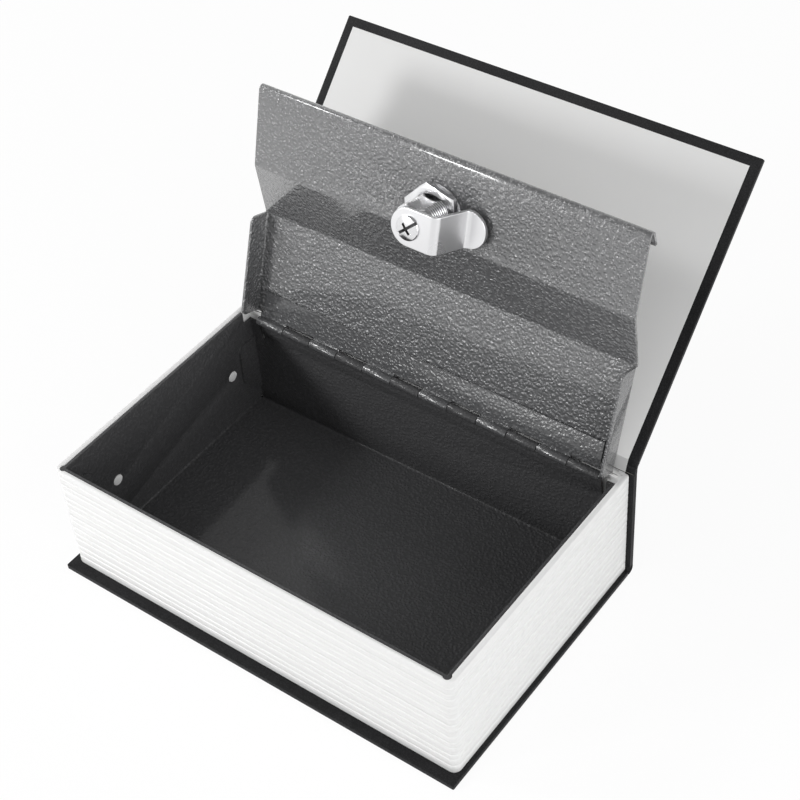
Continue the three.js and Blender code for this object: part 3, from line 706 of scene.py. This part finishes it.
# Lock barrel
HEAD_HEIGHT = 3.0 * MM
HEAD_CHAMFER = 1.2 * MM
BARREL_RADIUS = 8.0 * MM
BARREL_FLAT = 7.0 * MM
END_CHAMFER = 0.5 * MM
PLAIN_COLLAR = 2.2 * MM
BORE_RADIUS = 5.7 * MM
SEAT_RADIUS = 6.8 * MM
SEAT_DEPTH = 1.4 * MM
# Share of the thread's depth past which its roots get the painted shade
ROOT_SHARE = 0.45


def in_lock(radius, angle, height):
    """A place round the lock's axis."""
    return LOCK @ Vector((radius * math.cos(angle), radius * math.sin(angle), height))


def barrel_rings():
    """The lock body's outline: radius, height, and the share of the thread's depth, ring by ring."""
    low, high = span("lock_body", LOCK)
    start = span("lock_washer", LOCK)[1].z
    head_radius = high.x
    under_head = low.z + HEAD_HEIGHT
    collar = high.z - PLAIN_COLLAR
    rings = [(SEAT_RADIUS, low.z, 0), (head_radius - HEAD_CHAMFER, low.z, 0),
             (head_radius, low.z + HEAD_CHAMFER, 0), (head_radius, under_head, 0),
             (BARREL_RADIUS, under_head, 0)]
    steps_in_a_turn = 10
    count = round((collar - start) / sizes().thread_pitch * steps_in_a_turn)
    for k in range(count + 1):
        run_out = min(1.0, (count - k) / steps_in_a_turn)
        rings.append((BARREL_RADIUS, start + (collar - start) * k / count, run_out))
    rings.append((BARREL_RADIUS, high.z - END_CHAMFER, 0))
    rings.append((BARREL_RADIUS - END_CHAMFER, high.z, 0))
    rings.append((BORE_RADIUS, high.z, 0))
    rings.append((BORE_RADIUS, low.z + SEAT_DEPTH, 0))
    rings.append((SEAT_RADIUS, low.z + SEAT_DEPTH, 0))
    return rings


def thread_drop(height, angle):
    """How far below its crest a rounded thread lies, which climbs one pitch in a turn."""
    phase = height / sizes().thread_pitch - angle / (2 * math.pi)
    return sizes().thread_depth * (0.5 - 0.5 * math.cos(2 * math.pi * phase))


def build_lock_barrel(material, recess_shade):
    """Threaded barrel with two flats and its round head, with painted shade at the roots of its thread:
    much darker plating there.
    """
    around = sizes().thread_sides
    rings = barrel_rings()
    points = []
    roots = []
    for i, (radius, height, thread) in enumerate(rings):
        for j in range(around):
            angle = 2 * math.pi * j / around
            drop = thread * thread_drop(height, angle)
            r = radius - drop
            across = abs(math.sin(angle))
            if BARREL_FLAT < across * r and radius <= BARREL_RADIUS:
                r = BARREL_FLAT / across
            # Faces deep in the thread get the painted shade
            elif drop > ROOT_SHARE * sizes().thread_depth:
                roots.append(i * around + j)
            points.append(in_lock(r, angle, height))
    piece = new_piece("lock_barrel", points, closed_grid(len(rings), around), material, "lid")
    give_faces(piece, recess_shade, roots)
    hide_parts("lock_body")


# Cam
CAM_SHEET = 1.4 * MM
CAM_FIRST_BEND = 10.5 * MM
CAM_SECOND_BEND = 14.7 * MM
CAM_BEND_RADIUS = 2.5 * MM
CAM_EDGE = 0.28 * MM
CAM_COAT = 0.03 * MM
CAM_SHARP_FROM = 50


def cam_middle_line():
    """The bent middle line of the cam as points along x and z of the lock, with their directions."""
    round_steps = 18
    bend_steps = 8
    first_angle = 2
    sweep = 90 - first_angle
    low, high = span("lock_cam", LOCK)
    half = high.y
    upper = high.z - CAM_SHEET / 2
    lower = low.z + CAM_SHEET / 2
    first = Vector((CAM_FIRST_BEND, upper))
    second = Vector((CAM_SECOND_BEND, lower))
    slope = (second - first).normalized()
    turn = math.acos(slope.x)
    set_back = CAM_BEND_RADIUS * math.tan(turn / 2)
    line = []
    for k in range(round_steps + 1):
        x = low.x + half * (1 - math.cos(math.radians(first_angle + sweep * k / round_steps)))
        line.append((Vector((x, upper)), Vector((1, 0))))
    for k in range(bend_steps + 1):
        angle = turn * k / bend_steps
        x = first.x - set_back + CAM_BEND_RADIUS * math.sin(angle)
        z = upper - CAM_BEND_RADIUS * (1 - math.cos(angle))
        line.append((Vector((x, z)), Vector((math.cos(angle), -math.sin(angle)))))
    for k in range(bend_steps + 1):
        angle = turn * (1 - k / bend_steps)
        x = second.x + set_back - CAM_BEND_RADIUS * math.sin(angle)
        z = lower + CAM_BEND_RADIUS * (1 - math.cos(angle))
        line.append((Vector((x, z)), Vector((math.cos(angle), -math.sin(angle)))))
    for k in range(round_steps + 1):
        x = high.x - half * (1 - math.cos(math.radians(90 - sweep * k / round_steps)))
        if x > line[-1][0].x:
            line.append((Vector((x, lower)), Vector((1, 0))))
    return line


def cam_half_width(x):
    """Half the cam's width at a place along it, with its two round ends."""
    least_share = 0.03
    low, high = span("lock_cam", LOCK)
    half = high.y
    into_end = max(low.x + half - x, x - (high.x - half), 0.0)
    return math.sqrt(max(half * half - into_end * into_end, (least_share * half) ** 2))


def build_cam(material):
    """Cranked cam with softly rounded edges."""
    corners = ((1, 1), (-1, 1), (-1, -1), (1, -1))
    corner_steps = 3
    thick = CAM_SHEET / 2 + CAM_COAT - CAM_EDGE
    points = []
    line = cam_middle_line()
    for middle, way in line:
        outward = Vector((-way.y, way.x))
        wide = max(cam_half_width(middle.x) - CAM_EDGE, 0.0)
        for quarter, (side_y, side_n) in enumerate(corners):
            for k in range(corner_steps + 1):
                angle = math.radians(90 * quarter + 90 * k / corner_steps)
                y = side_y * wide + CAM_EDGE * math.cos(angle)
                n = side_n * thick + CAM_EDGE * math.sin(angle)
                at = middle + outward * n
                points.append(LOCK @ Vector((at.x, y, at.y)))
    faces = capped_grid(len(line), len(corners) * (corner_steps + 1))
    piece = new_piece("cam_plate", points, faces, material, "plug", CAM_SHARP_FROM)
    weighted = piece.modifiers.new("flat_faces", "WEIGHTED_NORMAL")
    weighted.keep_sharp = True
    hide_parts("lock_cam")


# Cam screw
SCREW_DOME = 0.75 * MM
SCREW_RIM = 0.35 * MM
SCREW_TURN = 42
SCREW_OVER_CAM = 0.05 * MM
SCREW_FOOT = 0.1 * MM
SCREW_UNDERCUT = 0.3 * MM
SCREW_UNDERSIDE = 0.06 * MM
SCREW_SHARP_FROM = 38
SLOT_HALF_WIDTH = 0.38 * MM
SLOT_DEPTH_SHARE = 0.6
CROSS_HALF_LENGTH = 2.2 * MM
RECESS_DEPTH = 1.1 * MM
RECESS_WALL = 0.12 * MM
# Share of the recess's depth past which its faces get the painted shade
SHADE_FROM = 0.3


def screw_drop(share, radius):
    """How far the screw's domed face lies below its middle at a share of its radius."""
    rim = max(0.0, share - (1 - SCREW_RIM / radius)) * radius / SCREW_RIM
    return SCREW_DOME * share ** 2 + SCREW_RIM * (1 - math.sqrt(max(0.0, 1 - rim * rim)))


def screw_recess(u, v, radius):
    """Depth of the driver recess at a place on the screw's face: a through slot and a short cross."""
    def groove(across, along, half_length):
        side = (SLOT_HALF_WIDTH + RECESS_WALL - abs(across)) / RECESS_WALL
        end = (half_length + RECESS_WALL - abs(along)) / RECESS_WALL
        return max(0.0, min(1.0, side, end))

    slot = groove(v, u, 2 * radius) * SLOT_DEPTH_SHARE
    cross = max(groove(u, v, CROSS_HALF_LENGTH), groove(v, u, CROSS_HALF_LENGTH))
    return RECESS_DEPTH * max(slot, cross)


def build_cam_screw(material, recess_shade):
    """Domed screw head with a slot and a cross, which get painted shade inside: much darker plating."""
    around = 200
    rows = 56
    high = span("cam_screw", LOCK)[1]
    cam_face = span("lock_cam", LOCK)[1].z
    radius = high.x
    turn = math.radians(SCREW_TURN)
    points = []
    inside = []
    for i in range(rows + 1):
        share = i / rows
        r = radius * share
        for j in range(around):
            angle = 2 * math.pi * j / around
            x = r * math.cos(angle)
            y = r * math.sin(angle)
            u = x * math.cos(turn) + y * math.sin(turn)
            v = y * math.cos(turn) - x * math.sin(turn)
            recess = screw_recess(u, v, radius)
            # Faces deep in the recess get the painted shade
            if recess > SHADE_FROM * RECESS_DEPTH:
                inside.append(i * around + j)
            height = high.z - screw_drop(share, radius) - recess
            points.append(LOCK @ Vector((x, y, max(height, cam_face + SCREW_OVER_CAM))))
    for r, z in ((radius, cam_face + SCREW_FOOT), (radius - SCREW_UNDERCUT, cam_face + SCREW_UNDERSIDE)):
        points.extend(in_lock(r, 2 * math.pi * j / around, z) for j in range(around))
    rings = rows + 3
    faces = [*closed_grid(rings, around)[:-around], last_end(rings, around)]
    piece = new_piece("cam_screw_head", points, faces, material, "plug", SCREW_SHARP_FROM)
    give_faces(piece, recess_shade, inside)
    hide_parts("cam_screw")


def dress_lock():
    """Builds the barrel, the cam and its screw, and finishes the lock's other pieces."""
    bright = plated_finish("bright_plating", share=1.0, rough_low=0.14, rough_high=0.22)
    satin = plated_finish("satin_plating", share=1.0, rough_low=0.26, rough_high=0.36)
    # Much darker plating: painted shade at the thread's roots and in the screw's recess
    recess_shade = plated_finish("dull_plating", share=0.08, rough_low=0.4, rough_high=0.5)
    build_lock_barrel(bright, recess_shade)
    build_cam(satin)
    build_cam_screw(bright, recess_shade)
    dress(["lock_nut"], bright, sizes().plated_rounding)
    dress(["lock_washer"], steel_finish(), WASHER_ROUNDING)
    wafers = sorted(name for name in frame["nodes"] if name.startswith("lock_wafer_"))
    dress(["lock_plug", *wafers], brass_finish(), BRASS_ROUNDING, 1)


def camera_matrix():
    """The camera's place: round the target by azimuth and elevation, and rolled."""
    view = studio()
    level = math.cos(view.elevation)
    back = Vector((math.sin(view.azimuth) * level, -math.cos(view.azimuth) * level,
                   math.sin(view.elevation)))
    right = Vector((math.cos(view.azimuth), math.sin(view.azimuth), 0))
    up = back.cross(right)
    rolled_right = right * math.cos(view.roll) + up * math.sin(view.roll)
    rolled_up = up * math.cos(view.roll) - right * math.sin(view.roll)
    turn = Matrix((rolled_right, rolled_up, back)).transposed().to_4x4()
    return Matrix.Translation(Vector(view.target) + back * view.distance) @ turn


def build_camera():
    data = bpy.data.cameras.new("studio_camera")
    data.lens = studio().focal_length
    data.sensor_width = 36.0
    data.clip_start = 0.01
    data.clip_end = 20.0
    camera = bpy.data.objects.new("studio_camera", data)
    bpy.context.scene.collection.objects.link(camera)
    camera.matrix_world = camera_matrix()
    bpy.context.scene.camera = camera


def seen_share(tree):
    """1 for rays from the camera and for the reflected and refracted ones that stand for it."""
    path = tree.add("ShaderNodeLightPath").outputs
    mirrored = tree.calculate("MAXIMUM", path["Is Glossy Ray"], path["Is Transmission Ray"])
    return tree.calculate("MAXIMUM", path["Is Camera Ray"], mirrored)


def floor_material():
    """White floor that keeps the shadow: seen directly, part of its white is its own."""
    material = bpy.data.materials.new("studio_floor")
    material.use_nodes = True
    tree = Tree(material.node_tree)
    material.node_tree.nodes.remove(material.node_tree.nodes["Principled BSDF"])
    lit = tree.add("ShaderNodeBsdfDiffuse", inputs={"Color": scaled(colours().floor, 1.0)})
    seen_lit = tree.add("ShaderNodeBsdfDiffuse", inputs={"Color": WHITE})
    glow = tree.add("ShaderNodeEmission", inputs={"Color": WHITE, "Strength": 1.0})
    seen = tree.shaders(studio().floor_glow, seen_lit.outputs[0], glow.outputs[0])
    both = tree.shaders(seen_share(tree), lit.outputs[0], seen)
    tree.feed(material.node_tree.nodes["Material Output"].inputs["Surface"], both)
    return material


def build_floor():
    side = 6.0
    drop = -0.05 * MM
    corners = [(-side, -side, drop), (side, -side, drop), (side, side, drop), (-side, side, drop)]
    new_piece("studio_floor", corners, [(0, 1, 2, 3)], floor_material(), None)


def build_world():
    """Plain light from all round. What is seen is white low down and falls to grey overhead."""
    grey_from = 0.35
    grey_to = 0.95
    world = bpy.data.worlds.new("studio_world")
    world.use_nodes = True
    bpy.context.scene.world = world
    tree = Tree(world.node_tree)
    background = world.node_tree.nodes["Background"]
    direction = tree.add("ShaderNodeTexCoord").outputs["Generated"]
    height = tree.add("ShaderNodeSeparateXYZ", inputs={"Vector": direction}).outputs["Z"]
    overhead = tree.between(height, grey_from, grey_to)
    seen = tree.mixed(overhead, WHITE, scaled(WHITE[:3], studio().ceiling))
    tree.feed(background.inputs["Color"],
              tree.mixed(seen_share(tree), scaled(WHITE[:3], studio().world_light), seen))


LAMP_AIM = (0.0, 0.02, 0.05)
LAMP_PLACES = {
    "key": (-0.6, -1.0, 0.45),
    "spark": (-1.0, -0.45, 0.8),
    "side": (1.0, -0.15, 0.5),
    "back": (-0.75, 0.55, 0.95),
}


def area_lamp(name, place, power, side):
    data = bpy.data.lights.new(name, "AREA")
    data.energy = power
    data.size = side
    lamp = bpy.data.objects.new(name, data)
    bpy.context.scene.collection.objects.link(lamp)
    direction = Vector(LAMP_AIM) - Vector(place)
    lamp.location = place
    lamp.rotation_mode = "QUATERNION"
    lamp.rotation_quaternion = direction.to_track_quat("-Z", "Y")


def build_lamps():
    for lamp, place in LAMP_PLACES.items():
        power = getattr(studio(), f"{lamp}_power")
        side = getattr(studio(), f"{lamp}_size")
        area_lamp(f"{lamp}_lamp", place, power, side)


class BOOKSAFE_OT_covers(bpy.types.Operator):
    """Finish the boards, their covering and the cloth of the fold"""
    bl_idname = "book_safe.covers"
    bl_label = "Covers"

    def execute(self, context):
        dress_covers()
        return {"FINISHED"}


class BOOKSAFE_OT_papers(bpy.types.Operator):
    """Finish the endpaper and build its fold"""
    bl_idname = "book_safe.papers"
    bl_label = "Endpapers"

    def execute(self, context):
        dress_papers()
        return {"FINISHED"}


class BOOKSAFE_OT_pages(bpy.types.Operator):
    """Finish the moulded page block"""
    bl_idname = "book_safe.pages"
    bl_label = "Page block"

    def execute(self, context):
        dress_pages()
        return {"FINISHED"}


class BOOKSAFE_OT_box(bpy.types.Operator):
    """Finish the steel box, its strike bracket and the hinge pin"""
    bl_idname = "book_safe.box"
    bl_label = "Steel box"

    def execute(self, context):
        dress_box()
        return {"FINISHED"}


class BOOKSAFE_OT_lid(bpy.types.Operator):
    """Finish the lid and its hinge leaf"""
    bl_idname = "book_safe.lid"
    bl_label = "Lid"

    def execute(self, context):
        dress_lid()
        return {"FINISHED"}


class BOOKSAFE_OT_lock(bpy.types.Operator):
    """Build the barrel, the cam and its screw, and finish the lock's other pieces"""
    bl_idname = "book_safe.lock"
    bl_label = "Cam lock"

    def execute(self, context):
        dress_lock()
        return {"FINISHED"}


class BOOKSAFE_OT_stage(bpy.types.Operator):
    """Build the floor, the light and the camera"""
    bl_idname = "book_safe.stage"
    bl_label = "Stage"

    def execute(self, context):
        build_floor()
        build_world()
        build_lamps()
        build_camera()
        context.scene.view_settings.view_transform = "Standard"
        return {"FINISHED"}


OPERATORS = (BOOKSAFE_OT_stage, BOOKSAFE_OT_covers, BOOKSAFE_OT_papers, BOOKSAFE_OT_pages,
             BOOKSAFE_OT_box, BOOKSAFE_OT_lid, BOOKSAFE_OT_lock)


class BOOKSAFE_PT_panel(bpy.types.Panel):
    """Lists the steps and the settings of the book safe"""
    bl_label = "Book Safe"
    bl_idname = "BOOKSAFE_PT_panel"
    bl_space_type = "VIEW_3D"
    bl_region_type = "UI"
    bl_category = "Book Safe"

    def draw(self, context):
        for operator in OPERATORS:
            self.layout.operator(operator.bl_idname)
        for group in (context.scene.book_safe_sizes, context.scene.book_safe_colours,
                      context.scene.book_safe_studio):
            box = self.layout.box()
            for name in group.__annotations__:
                box.prop(group, name)


CLASSES = (BookSafeSizes, BookSafeColours, BookSafeStudio, *OPERATORS, BOOKSAFE_PT_panel)


def register():
    for cls in CLASSES:
        bpy.utils.register_class(cls)
    bpy.types.Scene.book_safe_sizes = PointerProperty(type=BookSafeSizes)
    bpy.types.Scene.book_safe_colours = PointerProperty(type=BookSafeColours)
    bpy.types.Scene.book_safe_studio = PointerProperty(type=BookSafeStudio)


def unregister():
    del bpy.types.Scene.book_safe_studio
    del bpy.types.Scene.book_safe_colours
    del bpy.types.Scene.book_safe_sizes
    for cls in reversed(CLASSES):
        bpy.utils.unregister_class(cls)


def main():
    register()
    bpy.ops.book_safe.stage()
    bpy.ops.book_safe.covers()
    bpy.ops.book_safe.papers()
    bpy.ops.book_safe.pages()
    bpy.ops.book_safe.box()
    bpy.ops.book_safe.lid()
    bpy.ops.book_safe.lock()


if __name__ == "__main__":
    main()
